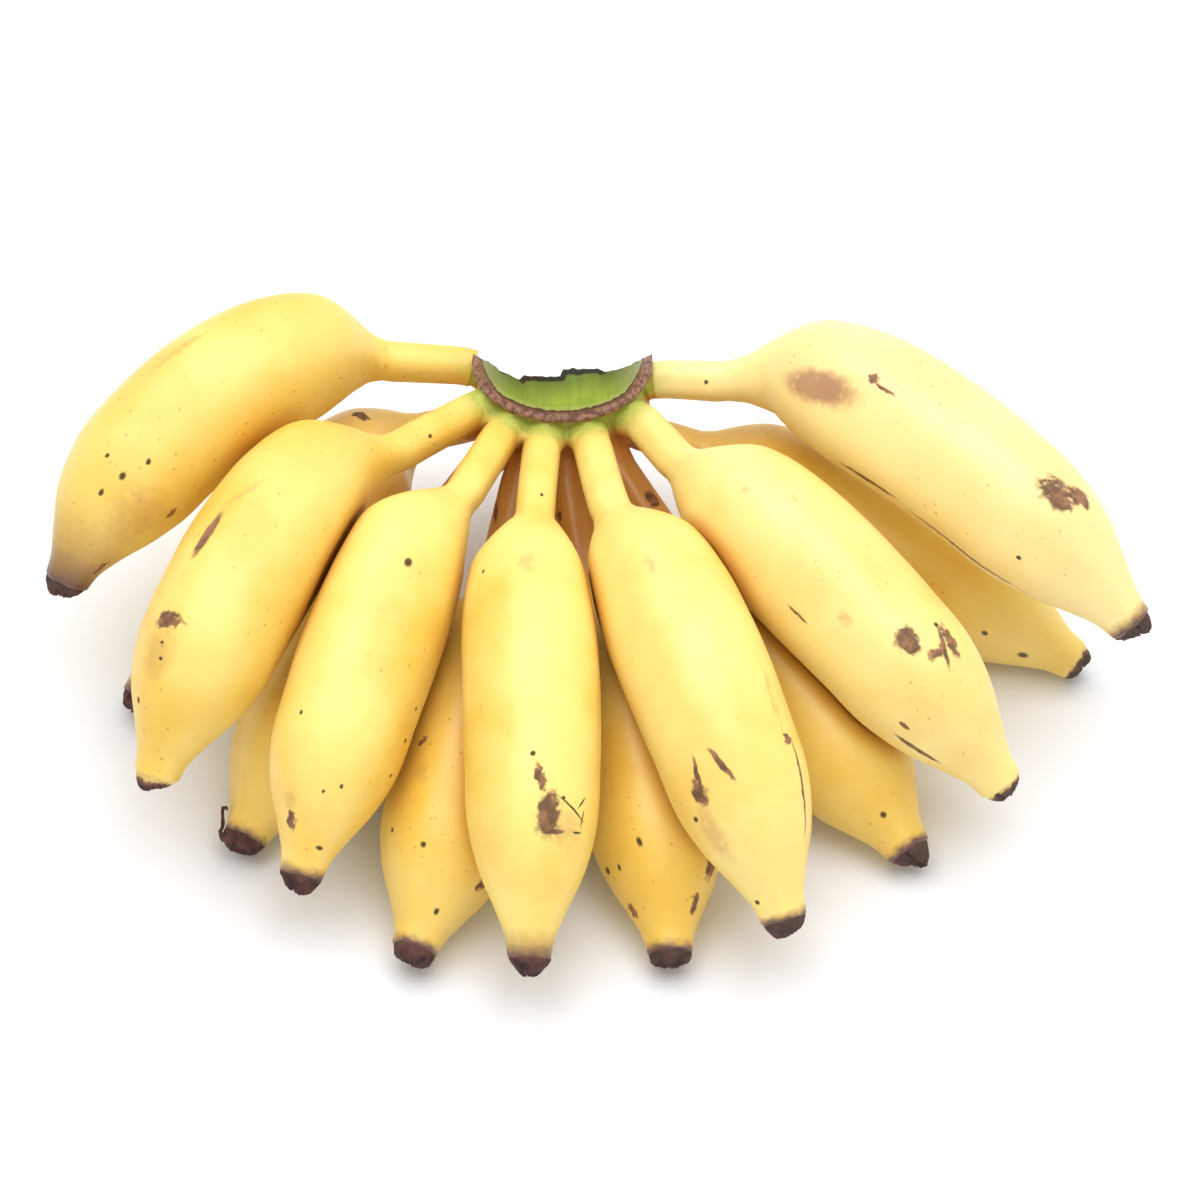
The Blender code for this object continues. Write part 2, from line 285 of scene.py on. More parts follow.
def grow_finger(own, others):
    """Rings of points round a spine, drawn in where neighbours or the table press the finger."""
    heading, along = own["heading"], own["along"]
    side = np.cross(heading, (0.0, 0.0, 1.0))
    side /= np.linalg.norm(side, axis=1)[:, None]
    top = np.cross(side, heading)
    angle = np.arange(FINGER_SIDES) * 2 * math.pi / FINGER_SIDES - math.pi
    ways = side[:, None] * np.sin(angle)[:, None] + top[:, None] * np.cos(angle)[:, None]
    feet = np.repeat(own["points"], FINGER_SIDES, axis=0)
    radius = np.repeat(own["radii"], FINGER_SIDES)
    ways = ways.reshape(-1, 3)
    lean = np.arctan2((ways * np.repeat(side, FINGER_SIDES, axis=0)).sum(axis=1), ways[:, 2])
    dents = np.zeros(len(feet))
    for size, turns, share, phase in DENT_WAVES:
        wave = np.repeat(along, FINGER_SIDES) * 2 * math.pi / size + share * own["phase"] + phase
        dents += np.sin(wave + turns * np.tile(angle, len(along))) / turns
    wanted = radius * (1 + RIDGE_HEIGHT * np.sin(RIDGES * lean) + DENT_HEIGHT * dents) - PEEL_INSET
    limit = np.full(len(feet), np.inf)
    for other in others:
        span = np.linalg.norm(own["points"][:, None] - other["points"][None], axis=2)
        span -= own["radii"][:, None] + other["radii"][None]
        close = np.repeat(span.min(axis=1) < CONTACT_REACH, FINGER_SIDES)
        high = wanted + CONTACT_ROUND
        picked = np.flatnonzero(close)
        if not len(picked):
            continue
        tried = high[picked]
        past = reach_past(feet[picked] + ways[picked] * tried[:, None], other)
        picked = picked[past < tried - radius[picked] + CONTACT_GAP]
        low, high = np.zeros(len(picked)), high[picked]
        for _ in range(PRESS_HALVINGS):
            tried = (low + high) / 2
            past = reach_past(feet[picked] + ways[picked] * tried[:, None], other)
            free = past >= tried - radius[picked] + CONTACT_GAP
            low = np.where(free, tried, low)
            high = np.where(free, high, tried)
        limit[picked] = np.minimum(limit[picked], low)
    overlap = np.maximum(CONTACT_ROUND - np.abs(wanted - limit), 0.0)
    placed = np.minimum(wanted, limit) - overlap ** 2 / (4 * CONTACT_ROUND)
    placed = feet + ways * np.maximum(placed, LEAST_RADIUS)[:, None]
    placed[:, 2] = np.maximum(placed[:, 2], 0.0)
    return placed.reshape(-1, FINGER_SIDES, 3), angle


def nearest_neighbour(places, own, others):
    """How far each place is from the nearest other finger, up to a limit."""
    near = np.full(len(places), CREASE_REACH)
    for other in others:
        span = np.linalg.norm(own["points"][:, None] - other["points"][None], axis=2)
        span -= own["radii"][:, None] + other["radii"][None]
        if span.min() < CREASE_REACH:
            near = np.minimum(near, reach_past(places, other))
    return near


def close_rings(name, rings, start, end, marks_at=None):
    """A closed mesh from rings of points and a middle point for each end, in metres. Where
    marks_at gives two numbers for each ring and side, they become the map "peel_mm"."""
    count, sides = rings.shape[:2]
    points = np.vstack([rings.reshape(-1, 3), start, end]) * MM + np.array(hand_middle)
    row, column = np.meshgrid(np.arange(count - 1), np.arange(sides), indexing="ij")
    after = (column + 1) % sides
    quads = np.stack([row * sides + column, row * sides + after,
                      (row + 1) * sides + after, (row + 1) * sides + column], axis=-1)
    quads = quads.reshape(-1, 4).tolist()
    last = (count - 1) * sides
    fans = [(count * sides, (k + 1) % sides, k) for k in range(sides)]
    fans += [(count * sides + 1, last + k, last + (k + 1) % sides) for k in range(sides)]
    mesh = bpy.data.meshes.new(name)
    mesh.from_pydata(points.tolist(), [], quads + fans)
    if marks_at is not None:
        across, down = marks_at
        turn = across[1] - across[0]
        layer = mesh.uv_layers.new(name="peel_mm")
        corners = []
        for r in range(count - 1):
            for c in range(sides):
                left, right = across[c], across[c] + turn
                corners += [left, down[r], right, down[r], right, down[r + 1], left, down[r + 1]]
        for c in range(sides):
            middle = across[c] + turn / 2
            corners += [middle, down[0], across[c] + turn, down[0], across[c], down[0]]
        for c in range(sides):
            middle = across[c] + turn / 2
            corners += [middle, down[-1], across[c], down[-1], across[c] + turn, down[-1]]
        layer.data.foreach_set("uv", np.array(corners, dtype=np.float32))
    cage = bmesh.new()
    cage.from_mesh(mesh)
    bmesh.ops.recalc_face_normals(cage, faces=cage.faces)
    cage.to_mesh(mesh)
    cage.free()
    mesh.shade_smooth()
    piece = bpy.data.objects.new(name, mesh)
    bpy.context.scene.collection.objects.link(piece)
    return piece


spines = {f[0]: finger_spine(f, UPPER_HEIGHT, UPPER_PITCH) for f in UPPER_FINGERS}
spines |= {f[0]: settled_spine(f) for f in LOWER_FINGERS}
for number, spine in enumerate(spines.values()):
    spine["phase"] = PHASE_STEP * number

# Ripe banana peel: waxy, satin, a little translucent, so its yellow glows; orange and brown painted shade
# where fingers shade each other; green where it leaves the crown and brown where it dries at the tip
PEEL_YELLOW = "F9DC7A"
PEEL_GOLD = "F0C44E"
# Painted shade in the creases between fingers, darker still where they touch
PEEL_CREASE_SHADE = "CE9024"
PEEL_CONTACT_SHADE = "A2681A"
PEEL_GREEN = "A6B94C"
PEEL_DRYING = "A98148"
# Painted shade for the lower stalks under the crown
STALK_SHADE_BROWN = "B87430"
PEEL_TIP = "6A4A3C"
BRUISE_DARK = "522C28"
BRUISE_BROWN = "8E5B44"
SCUFF_BROWN = "A8735A"
STAIN_BROWN = "C79A55"
DOT_DARK = "43330E"
FRECKLE = "AE8636"
# Painted light and painted shade: paler on the most lit fingers, deeper gold on the more shaded ones
PEEL_LIT_PALE = "FFEFB8"
PEEL_SHADED_GOLD = "D6AE3A"
PEEL_ROUGHNESS = 0.42
DEAD_ROUGHNESS = 0.9
SCAR_HEIGHT = 52.0
GREEN_FAR = 7.0
GREEN_NEAR = 1.0
GREEN_MOST = 0.85
GREEN_CUT_STALK = 0.4
# Painted shade: the stalks of the lower fingers, hidden under the crown, are darkened brown, less so for
# those at the two ends
STALK_SHADE_START = 44.0
STALK_SHADE_FULL = 26.0
STALK_SHADE_MOST = 0.75
STALK_SHADE_LEAST = 0.25
SEEN_STALKS = ("lower_1", "lower_6")
# Widths of the patterns in millimetres: patches of gold, freckles, and the grain that makes edges
# ragged, with how far it moves the edge of the green, and what share of that the brown's
GOLD_PATCH = 22.2
FRECKLE_SPACING = 2.778
RAGGED_GRAIN = 2.381
GREEN_RAGGED = 5.0
TIP_RAGGED = 0.5

# How many millimetres of each finger are dried brown at its tip, how freckled it is, and how pale (or,
# below nothing, how golden) its peel is painted: painted light on the most lit fingers, painted shade on
# the more shaded ones
PEEL_WEAR_AND_LIGHT = {
    "upper_1": (19.0, 1.0, -0.25), "upper_2": (0.0, 0.8, -0.15), "upper_3": (3.0, 0.4, 0.0),
    "upper_4": (7.0, 0.4, 0.0), "upper_5": (2.4, 0.3, 0.1), "upper_6": (0.0, 0.4, 0.25),
    "upper_7": (3.6, 0.4, 0.5), "lower_1": (6.0, 0.6, -0.1), "lower_2": (2.4, 0.4, -0.35),
    "lower_3": (2.4, 0.8, -0.4), "lower_4": (2.6, 0.8, -0.35), "lower_5": (2.2, 0.5, -0.4),
    "lower_6": (0.0, 0.5, -0.3),
}
# Kinds of mark: a dot is small and black, a nick is a thin healed cut, a bruise is dead brown skin,
# a stain is faint, and a scuff is rubbed brown. Each has how far the grain moves its edge, and how
# soft the edge is; then comes how strong each colour is, in the order they lie
MARK_EDGES = {
    "dot": (0.6, 0.6), "nick": (1.3, 0.4), "bruise": (4.5, 0.4), "stain": (4.5, 0.9), "scuff": (2.5, 0.6),
}
MARK_COATS = [
    ("stain", 0.5, STAIN_BROWN), ("scuff", 0.8, SCUFF_BROWN), ("bruise", 0.92, BRUISE_DARK),
    ("dot", 0.97, DOT_DARK),
]
# The marks on each finger: kind, place across and along the peel, width, length, turn in degrees
PEEL_MARKS = {
    "upper_1": [
        ("dot", -11, 95, 1.3, 1.3, 0), ("dot", -8, 100.5, 1.7, 1.7, 0), ("dot", -1.5, 99, 1.0, 1.0, 0),
        ("dot", -5.5, 105.5, 1.5, 1.4, 0), ("bruise", -27, 99.5, 3.0, 2.6, 0),
        ("stain", 5, 74, 2.0, 12, 3), ("bruise", -26, 119.5, 4.5, 4.0, 0), ("stain", -18, 106, 16, 14, 0),
    ],
    "upper_2": [
        ("nick", 6.5, 82.5, 2.8, 11, 6), ("stain", 4, 72, 1.4, 10, 31),
        ("bruise", 5.5, 101.5, 9.5, 3.4, -8), ("stain", 6, 108, 9, 9, 0), ("dot", 5, 106, 1.0, 0.8, 0),
        ("dot", 4, 109, 1.2, 0.8, 0), ("dot", -13.5, 22.5, 3.6, 1.1, 0), ("dot", 12, 118, 2, 1.2, 0),
    ],
    "upper_3": [
        ("dot", -6, 60.5, 2.0, 2.0, 0), ("stain", 7, 115.5, 5, 4, 0), ("bruise", 6.5, 120, 5.0, 4.4, 0),
        ("dot", -10, 124, 4, 0.9, 0), ("dot", 7.5, 98, 1.0, 1.0, 0), ("dot", -23.5, 88.5, 1.2, 1.0, 0),
        ("dot", -24, 96, 1.2, 1.2, 0), ("dot", -23.5, 104.5, 1.2, 1.0, 0),
        ("dot", -8.5, 110.5, 1.0, 1.0, 0), ("dot", -4, 112.5, 1.0, 0.8, 0),
    ],
    "upper_4": [
        ("dot", -5, 29, 3.2, 1.2, 0), ("stain", 0, 54, 4, 5, 0), ("dot", 13, 53.5, 1.1, 1.1, 0),
        ("dot", 0, 98, 1.2, 1.2, 0), ("bruise", -1.8, 103, 2.2, 6, -20),
        ("bruise", -4.2, 110.5, 6.4, 10, 8), ("dot", -10.3, 108.8, 0.5, 8.6, -58),
        ("dot", -13.6, 110.6, 0.5, 3.4, 8), ("nick", -5.6, 113.8, 1.1, 6.4, -97),
        ("dot", -12.6, 113.6, 0.5, 2.6, -90), ("dot", -7.8, 106.8, 1.0, 0.8, 0),
        ("dot", -13, 107.4, 0.5, 3.2, 40), ("stain", -9, 113, 9, 7, 0),
    ],
    "upper_5": [
        ("stain", 4, 59, 2.6, 5, 0), ("nick", 14, 106, 1.4, 9, 10), ("bruise", 15.5, 109, 4.4, 6.0, 10),
        ("nick", 7, 105.5, 1.5, 9, -24), ("dot", 20.5, 113.5, 1.6, 1.2, 0),
        ("stain", 17.5, 118, 6, 11, 0), ("stain", -12, 94.5, 1.0, 17, 4),
        ("bruise", -12, 104, 2.4, 3, 60), ("nick", -13.6, 114, 0.9, 20, 0),
        ("dot", 19, 134.5, 3.4, 1.1, 0),
    ],
    "upper_6": [
        ("bruise", 4, 97, 6.4, 6.4, 0), ("bruise", 0.6, 102.6, 5.2, 3.2, 0),
        ("bruise", -5.6, 102.5, 3.2, 8, 20), ("nick", -2.7, 102.4, 1.5, 10, 35),
        ("dot", -5.5, 98, 1.5, 1.3, 0), ("nick", 19.5, 77, 0.7, 6, 0), ("stain", 11.5, 85, 2.4, 3, 0),
        ("stain", 6.5, 50, 2.2, 2.2, 0), ("stain", -0.5, 58.5, 2.2, 2.2, 0),
        ("nick", 25, 115.5, 1.7, 11, 0), ("nick", 20.5, 109.5, 1.3, 3, 0),
    ],
    "upper_7": [
        ("scuff", 15, 50, 8.4, 18, -16), ("stain", 13, 56, 8, 12, -16),
        ("bruise", 6.5, 61.5, 2.6, 3.2, 30), ("nick", 7.0, 65, 0.9, 5.5, 0), ("bruise", 0, 106, 9, 9, 0),
        ("bruise", -5, 109.5, 5, 8, -60), ("nick", 30.5, 70, 1.4, 17, -4), ("nick", 31.5, 98, 1.1, 32, 0),
        ("dot", 20.5, 109.5, 1.2, 1.2, 0), ("dot", 15, 16.5, 4.0, 1.2, 0),
    ],
    "lower_1": [
        ("bruise", 3, 27.5, 6, 3, 0),
    ],
    "lower_2": [
        ("stain", 4, 80, 6, 20, 0),
    ],
    "lower_3": [
        ("bruise", 17, 14.5, 14, 4, 20), ("dot", 3, 110, 1.6, 1.3, 0), ("dot", 15.5, 106.5, 1.3, 1.3, 0),
        ("stain", 8, 94, 5, 3, 30), ("bruise", 10, 85.5, 2.4, 2, 0), ("bruise", -19.5, 113, 4, 4, 0),
        ("dot", -8.5, 122, 2.4, 1.4, 0),
    ],
    "lower_4": [
        ("bruise", 15.5, 13, 6, 2.4, 0), ("dot", 7, 106.5, 2.2, 1.4, 60), ("dot", 16.5, 110, 1.4, 1.4, 0),
        ("dot", 22.5, 109, 2.0, 1.6, 0), ("bruise", -16.5, 110, 5, 9, 0), ("bruise", 21, 119, 4.5, 4, 0),
        ("bruise", -13, 119, 4.5, 4, 0),
    ],
    "lower_5": [
        ("bruise", -5, 15, 12, 4, 0), ("bruise", 22, 95, 2.5, 4, 0), ("dot", 8, 114, 3.0, 1.4, 0),
    ],
    "lower_6": [
        ("dot", 18.5, 98, 1.5, 1.4, 0), ("dot", 22, 108.5, 2.8, 2.4, 0),
    ],
}


def grains(width):
    """The scale that makes a pattern this many millimetres wide."""
    return 1.0 / (width * MM)


def far_from_scar(material, here):
    """How many millimetres a point is past the scar's ring outwards, and from its edge in all."""
    middle = hand_middle + Vector((0.0, RING_Y, SCAR_HEIGHT)) * MM
    size = (MM, RING_DEPTH * MM, MM)
    local = add_node(material, "Mapping", {"Vector": here, "Location": middle, "Scale": size},
                     vector_type="TEXTURE")
    parts = add_node(material, "SeparateXYZ", {0: local.outputs[0]}).outputs
    level = add_node(material, "CombineXYZ", {0: parts[0], 1: parts[1]})
    out = add_node(material, "VectorMath", {0: level.outputs[0]}, operation="LENGTH").outputs["Value"]
    past = add_node(material, "Math", {0: out, 1: SCAR_RADIUS}, operation="SUBTRACT").outputs[0]
    pair = add_node(material, "CombineXYZ", {0: past, 1: parts[2]})
    away = add_node(material, "VectorMath", {0: pair.outputs[0]}, operation="LENGTH").outputs["Value"]
    return past, away


def ripe_peel(name, length):
    """Peel for one finger, with its own marks and its own brown tip."""
    peel = bpy.data.materials.new("ripe_peel_" + name)
    peel.use_nodes = True
    shader = peel.node_tree.nodes["Principled BSDF"]
    here = add_node(peel, "TexCoord").outputs["Object"]
    mapped = add_node(peel, "UVMap", uv_map="peel_mm").outputs["UV"]
    down = add_node(peel, "SeparateXYZ", {0: mapped}).outputs["Y"]
    near = add_node(peel, "Attribute", attribute_name="near_mm").outputs["Fac"]
    fade, freckled, pale = PEEL_WEAR_AND_LIGHT[name]
    patch = add_node(peel, "TexNoise", {"Vector": here, "Scale": grains(GOLD_PATCH), "Detail": 3.0})
    patch = patch.outputs["Fac"]
    fine = add_node(peel, "TexNoise", {"Vector": here, "Scale": grains(RAGGED_GRAIN), "Detail": 4.0})
    ragged = {0: fine.outputs["Fac"], 1: GREEN_RAGGED, 2: -GREEN_RAGGED / 2}
    ragged = add_node(peel, "Math", ragged, operation="MULTIPLY_ADD").outputs[0]
    _, from_ring = far_from_scar(peel, here)
    from_ring = add_node(peel, "Math", {0: from_ring, 1: ragged}, operation="ADD").outputs[0]
    green = GREEN_MOST * GREEN_CUT_STALK if name in CUT_STALKS else GREEN_MOST

    # The coats of colour, lowest first. In a span each has its colour, what it follows, where it
    # starts, where it is full, how strong it gets and how it fades in
    gold = add_node(peel, "MapRange", {0: patch, 1: 0.40, 2: 0.72}).outputs[0]
    # The gold patches are the peel's own tone; the pale and deep coats are painted light and painted shade
    coats = [(gold, PEEL_GOLD), (abs(pale), PEEL_LIT_PALE if pale > 0 else PEEL_SHADED_GOLD)]
    spans = [
        # Painted shade: orange brown in the creases near other fingers, darker brown where they touch
        (PEEL_CREASE_SHADE, near, 5.0, 0.2, 0.72, "SMOOTHSTEP"),
        (PEEL_CONTACT_SHADE, near, 1.1, 0.35, 1.0, "LINEAR"),
    ]
    # Painted shade on the lower fingers' stalks, under the crown
    if name.startswith("lower"):
        most = STALK_SHADE_LEAST if name in SEEN_STALKS else STALK_SHADE_MOST
        spans.append((STALK_SHADE_BROWN, down, STALK_SHADE_START, STALK_SHADE_FULL, most, "LINEAR"))
    spans.append((PEEL_GREEN, from_ring, GREEN_FAR, GREEN_NEAR, green, "SMOOTHSTEP"))
    if fade:
        rim = {0: ragged, 1: TIP_RAGGED, 2: down}
        rim = add_node(peel, "Math", rim, operation="MULTIPLY_ADD").outputs[0]
        spans.append((PEEL_DRYING, rim, length - fade, length - 0.2 * fade, 0.75, "SMOOTHSTEP"))
        spans.append((PEEL_TIP, rim, length - 0.4 * fade, length, 1.0, "LINEAR"))
    for code, follows, start, full, most, fading in spans:
        share = add_node(peel, "MapRange", {0: follows, 1: start, 2: full, 4: most},
                         interpolation_type=fading)
        coats.append((share.outputs[0], code))

    uneven = add_node(peel, "Math", {0: fine.outputs["Fac"], 1: 0.25, 2: -0.125}, operation="MULTIPLY_ADD")
    spots = add_node(peel, "TexVoronoi", {"Vector": here, "Scale": grains(FRECKLE_SPACING)})
    spots = add_node(peel, "Math", {0: spots.outputs["Distance"], 1: uneven.outputs[0]}, operation="ADD")
    spots = add_node(peel, "MapRange", {0: spots.outputs[0], 1: 0.15, 2: 0.06})
    bare = 0.25 * freckled
    where = add_node(peel, "MapRange", {0: patch, 1: 0.62 - bare, 2: 0.74 - bare, 4: 0.65})
    spots = add_node(peel, "Math", {0: spots.outputs[0], 1: where.outputs[0]}, operation="MULTIPLY")
    coats.append((spots.outputs[0], FRECKLE))

    torn = {0: fine.outputs["Color"], 1: (0.5, 0.5, 0.5)}
    torn = add_node(peel, "VectorMath", torn, operation="SUBTRACT")
    places = {}
    for kind, (size, _) in MARK_EDGES.items():
        moved = add_node(peel, "VectorMath", {0: torn.outputs[0], "Scale": size}, operation="SCALE")
        places[kind] = add_node(peel, "VectorMath", {0: mapped, 1: moved.outputs[0]}, operation="ADD")
    amounts = {}
    for kind, across, along, width, tall, turn in PEEL_MARKS[name]:
        placed = {"Vector": places[kind].outputs[0], "Location": (across, along, 0.0),
                  "Rotation": (0.0, 0.0, -math.radians(turn)), "Scale": (width / 2, tall / 2, 1.0)}
        local = add_node(peel, "Mapping", placed, vector_type="TEXTURE")
        away = add_node(peel, "VectorMath", {0: local.outputs[0]}, operation="LENGTH").outputs["Value"]
        soft = MARK_EDGES[kind][1]
        amount = add_node(peel, "MapRange", {0: away, 1: 1.0 + soft / 2, 2: 1.0 - soft / 2}).outputs[0]
        kind = "bruise" if kind == "nick" else kind
        if kind in amounts:
            amount = add_node(peel, "Math", {0: amounts[kind], 1: amount}, operation="MAXIMUM").outputs[0]
        amounts[kind] = amount
    for kind, strength, code in MARK_COATS:
        if kind in amounts:
            part = add_node(peel, "Math", {0: amounts[kind], 1: strength}, operation="MULTIPLY")
            coats.append((part.outputs[0], code))

    colour = from_hex(PEEL_YELLOW)
    for share, code in coats:
        over = from_hex(code)
        if code == BRUISE_DARK:
            depth = add_node(peel, "MapRange", {0: fine.outputs["Fac"], 1: 0.42, 2: 0.6}).outputs[0]
            over = add_node(peel, "Mix", {0: depth, 6: over, 7: from_hex(BRUISE_BROWN)}, data_type="RGBA")
            over = over.outputs[2]
        colour = add_node(peel, "Mix", {0: share, 6: colour, 7: over}, data_type="RGBA").outputs[2]
    peel.node_tree.links.new(colour, shader.inputs["Base Color"])
    # Dead patches have lost their wax
    shader.inputs["Roughness"].default_value = PEEL_ROUGHNESS
    if "bruise" in amounts:
        dead = amounts["bruise"]
        if "dot" in amounts:
            dead = add_node(peel, "Math", {0: dead, 1: amounts["dot"]}, operation="MAXIMUM").outputs[0]
        dull = add_node(peel, "MapRange", {0: dead, 3: PEEL_ROUGHNESS, 4: DEAD_ROUGHNESS})
        peel.node_tree.links.new(dull.outputs[0], shader.inputs["Roughness"])
    shader.inputs["IOR"].default_value = 1.6
    shader.inputs["Subsurface Weight"].default_value = 0.25
    shader.inputs["Subsurface Radius"].default_value = (1.0, 0.55, 0.12)
    shader.inputs["Subsurface Scale"].default_value = 2 * MM
    return peel


for name, spine in spines.items():
    others = [spines[other] for other in spines if other != name]
    rings, angle = grow_finger(spine, others)
    along = spine["along"]
    depth = ROOT_DEPTH
    if name in CUT_STALKS:
        first = int(np.searchsorted(along, CUT_STALK_START))
        rings, along = rings[first:], along[first:]
        depth = CUT_STALK_ROOT - along[0]
    root = spine["points"][0] - spine["heading"][0] * depth
    root_ring = root + (rings[0] - spine["points"][-len(along)]) * ROOT_RADIUS / STALK_RADIUS
    end = spine["points"][-1]
    lip = end + spine["heading"][-1] * PEEL_LIP + (rings[-1] - end) * LIP_SHARE
    rings = np.concatenate([root_ring[None], rings, lip[None]])
    down = np.concatenate([[-depth], along, [along[-1] + PEEL_LIP]])
    hollow = end + spine["heading"][-1] * PEEL_HOLLOW
    finger = close_rings("peel_" + name, rings, root, hollow, (angle * spine["girth"] / 2, down))
    near = finger.data.attributes.new("near_mm", "FLOAT", "POINT")
    spans = nearest_neighbour(rings.reshape(-1, 3), spine, others)
    near.data.foreach_set("value", np.append(spans, [CREASE_REACH, CREASE_REACH]))
    finger.data.materials.append(ripe_peel(name, along[-1]))
    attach(finger, "root")
    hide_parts("finger_" + name)

# The crown: the cushion of tough green tissue that all the stalks grow out of. It flares into
# each stalk, carries the brown scar of a fallen leaf, and its back is the hollow of a knife cut.

CROWN_PROFILE = [
    (0.0, 70.0), (13.0, 67.5), (17.2, 62.5), (19.6, 57.0), (20.8, 53.8), (22.0, 52.7),
    (21.7, 51.5), (19.1, 50.6), (20.7, 43.0), (21.4, 38.8), (18.8, 31.0), (16.5, 26.5),
    (12.0, 23.5), (0.0, 22.5),
]
CROWN_SIDES = 96
COLLAR_SIDES = 32
COLLAR_DEPTH = 9.0
CUT_COLLAR_DEPTH = 0.5
COLLAR_LENGTH = 7.0
COLLAR_FLARE = 0.55
COLLAR_DIVE = 0.35
CROWN_VOXEL = 0.4
CROWN_SOFTENING = 0.5
SOFTENING_TURNS = 7
CUT_RADIUS = 30.0
CUT_SIDES = 480
CUT_LEVELS = 60
CUT_LEAN = 35.0
CUT_WALL_Y = -4.5
CUT_WALL_HEIGHT = 51.5
CUT_LENGTH = 110.0
CUT_GRAIN = 0.13
CROSS_GRAIN = 0.6
# The torn lip the knife left: place across the crown, how far it stands past the cut
TORN_LIP = [
    (-18.0, 0.0), (-12.0, -0.8), (-9.6, -1.1), (-9.0, 0.2), (-4.5, 0.5), (-0.3, 0.9), (0.2, 2.5),
    (4.0, 2.4), (8.8, 1.7), (10.5, 0.6), (14.0, 0.0),
]
LIP_REACH = 10.5
LIP_START = 20.0
LIP_RISE = 5.0

# Crown skin: living green tissue, waxy and firm, grey towards its ends, with a dry brown scar and a
# blackened torn edge, with painted shade darkening the wall under that edge; below the scar it is as
# yellow as the stalks, with painted shade lower down
WALL_GREEN = "A3C34E"
WALL_STREAK = "95B44A"
WALL_SHADE = "566A36"
WALL_GREY = "A5AC88"
WALL_PALE = "C2CB8C"
SCAR_BROWN = "6C4A42"
SCAR_PINK = "A07A6C"
SCAR_EDGE = "4C3833"
LIP_BLACK = "2B2A20"
# Painted shade for the low part of the crown under the stalks
UNDER_CROWN_SHADE = "C88838"
# Widths of its patterns in millimetres: fine grain, blotches, and streaks with their length
SKIN_GRAIN = 1.111
SKIN_BLOTCH = 3.85
STREAK_WIDTH = 1.111
STREAK_LENGTH = 8.33
SKIN_WAVE = 1.2
GREEN_BLOTCH = 5.0
# The scar widens up the wall towards its two ends, and webs between the stalks stay greener
SCAR_WIDENING = 2.2
WEB_GREEN = 4.0
crown_skin = bpy.data.materials.new("green_crown_skin")
crown_skin.use_nodes = True
skin_shader = crown_skin.node_tree.nodes["Principled BSDF"]
here = add_node(crown_skin, "TexCoord").outputs["Object"]
local = add_node(crown_skin, "Mapping", {"Vector": here, "Location": hand_middle, "Scale": (MM, MM, MM)},
                 vector_type="TEXTURE").outputs[0]
parts = add_node(crown_skin, "SeparateXYZ", {0: local}).outputs
fine = add_node(crown_skin, "TexNoise", {"Vector": here, "Scale": grains(SKIN_GRAIN), "Detail": 4.0})
fine = fine.outputs["Fac"]
broad = add_node(crown_skin, "TexNoise", {"Vector": here, "Scale": grains(SKIN_BLOTCH), "Detail": 3.0})
broad = broad.outputs["Fac"]
streak = (grains(STREAK_WIDTH), grains(STREAK_LENGTH), grains(STREAK_LENGTH))
streak_map = add_node(crown_skin, "Mapping", {"Vector": here, "Scale": streak}).outputs[0]
streaks = add_node(crown_skin, "TexNoise", {"Vector": streak_map, "Scale": 1.0, "Detail": 2.0})
from_cut = add_node(crown_skin, "Attribute", attribute_name="from_cut").outputs["Fac"]
aside = add_node(crown_skin, "Math", {0: parts[0]}, operation="ABSOLUTE").outputs[0]
wave = {0: fine, 1: SKIN_WAVE, 2: -SKIN_WAVE / 2}
wave = add_node(crown_skin, "Math", wave, operation="MULTIPLY_ADD")
height = add_node(crown_skin, "Math", {0: parts[2], 1: wave.outputs[0]}, operation="ADD").outputs[0]

# The wall, coat by coat, in millimetres: colour, what it follows, where it starts, where it is
# full, how strong
colour = from_hex(WALL_STREAK)
for code, follows, start, full, most in (
    (WALL_GREEN, streaks.outputs["Fac"], 0.35, 0.65, 1.0),
    # Painted shade: the wall darkens towards the torn edge of the cut
    (WALL_SHADE, from_cut, 6.5, 0.0, 0.95),
    (WALL_GREY, aside, 12.0, 19.0, 0.8),
    (WALL_PALE, height, 56.0, 54.9, 0.6),
):
    share = add_node(crown_skin, "MapRange", {0: follows, 1: start, 2: full, 4: most}).outputs[0]
    coat = {0: share, 6: colour, 7: from_hex(code)}
    colour = add_node(crown_skin, "Mix", coat, data_type="RGBA").outputs[2]

past_ring, from_ring = far_from_scar(crown_skin, here)
# Below the scar and outside its ring the skin is like the stalks'
below = add_node(crown_skin, "MapRange", {0: height, 1: 51.3, 2: 50.9}).outputs[0]
outside = add_node(crown_skin, "MapRange", {0: past_ring, 1: 0.2, 2: 0.5}).outputs[0]
below = add_node(crown_skin, "Math", {0: below, 1: outside}, operation="MAXIMUM").outputs[0]
widening = add_node(crown_skin, "MapRange", {0: aside, 1: 15.0, 2: 20.0, 4: -SCAR_WIDENING}).outputs[0]
height = add_node(crown_skin, "Math", {0: height, 1: widening}, operation="ADD").outputs[0]
band = from_hex(SCAR_BROWN)
for code, follows, start, full in ((SCAR_PINK, fine, 0.4, 0.6), (SCAR_EDGE, height, 54.1, 54.6)):
    share = add_node(crown_skin, "MapRange", {0: follows, 1: start, 2: full}).outputs[0]
    coat = {0: share, 6: band, 7: from_hex(code)}
    band = add_node(crown_skin, "Mix", coat, data_type="RGBA").outputs[2]
scar = add_node(crown_skin, "MapRange", {0: height, 1: 55.0, 2: 54.7}).outputs[0]

